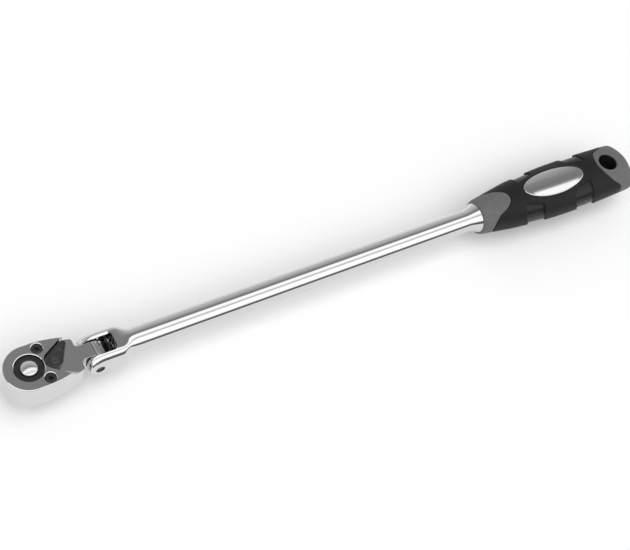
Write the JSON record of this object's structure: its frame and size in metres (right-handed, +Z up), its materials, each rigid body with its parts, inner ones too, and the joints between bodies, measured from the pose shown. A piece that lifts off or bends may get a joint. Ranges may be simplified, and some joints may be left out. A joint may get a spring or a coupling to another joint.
{
  "type": "ratchet wrench",
  "caption": "Long quick-release ratchet wrench with a reversing lever, a notched flex head and a moulded grip with a hanging hole.",
  "frame": {"origin": "centre of the square drive's end face", "axes": "+X along the handle from the head towards the grip's end, +Z up through the drive towards the lever side, +Y across the wrench to the left seen from the grip"},
  "size_m": [0.4417, 0.0362, 0.031],
  "materials": {
    "head_chrome": "polished",
    "shank_chrome": "polished",
    "button_chrome": "polished",
    "badge_chrome": "polished",
    "black_steel": "satin",
    "lever_grey": "satin",
    "drive_steel": "satin",
    "spring_steel": "satin",
    "grip_grey": "matte",
    "grip_black": "matte"
  },
  "bodies": {
    "handle": {"handle_shank": "shank_chrome", "flex_pin": "black_steel", "index_spring": "spring_steel", "grip_core": "grip_grey", "grip_overmould": "grip_black", "badge_plate": "badge_chrome"},
    "head": {"head_housing": "head_chrome", "cover_plate": "head_chrome", "cover_screw_left": "black_steel", "cover_screw_right": "black_steel"},
    "drive": {"drive_anvil": "drive_steel", "anvil_cap": "black_steel", "release_spring": "spring_steel"},
    "button": {"release_button": "button_chrome"},
    "ball": {"lock_ball": "drive_steel"},
    "lever": {"reversing_lever": "lever_grey", "lever_clip": "spring_steel", "detent_plunger": "drive_steel", "detent_spring": "spring_steel"},
    "pawl": {"pawl": "drive_steel"},
    "plunger": {"index_plunger": "black_steel"}
  },
  "joints": [
    {"name": "head_tilt", "type": "hinge", "parent": "handle", "child": "head", "pos_m": [0.0373, 0, 0.0186], "axis": [0, 1, 0], "range_deg": [-90, 90]},
    {"name": "drive_turn", "type": "hinge", "parent": "head", "child": "drive", "pos_m": [0, 0, 0.0186], "axis": [0, 0, 1], "continuous": true},
    {"name": "button_press", "type": "slide", "parent": "drive", "child": "button", "axis": [0, 0, -1], "range_m": [0, 0.002], "stiffness_N_per_m": 1500, "springref_m": -0.001, "deforming": ["release_spring"]},
    {"name": "ball_retract", "type": "slide", "parent": "drive", "child": "ball", "axis": [1, 0, 0], "range_m": [0, 0.00065]},
    {"name": "lever_swing", "type": "hinge", "parent": "head", "child": "lever", "pos_m": [0.0144, 0, 0.0186], "axis": [0, 0, 1], "range_deg": [-91.4, 0]},
    {"name": "pawl_rock", "type": "hinge", "parent": "head", "child": "pawl", "pos_m": [0.0144, 0, 0.0186], "axis": [0, 0, 1], "range_deg": [-10, 0]},
    {"name": "plunger_slide", "type": "slide", "parent": "handle", "child": "plunger", "axis": [1, 0, 0], "range_m": [0, 0.0012], "stiffness_N_per_m": 3000, "springref_m": -0.001, "deforming": ["index_spring"]}
  ],
  "couplings": [
    {"joint": "ball_retract", "follows": "button_press", "ratio": 0.325},
    {"joint": "pawl_rock", "follows": "lever_swing", "ratio": 0.10941}
  ]
}
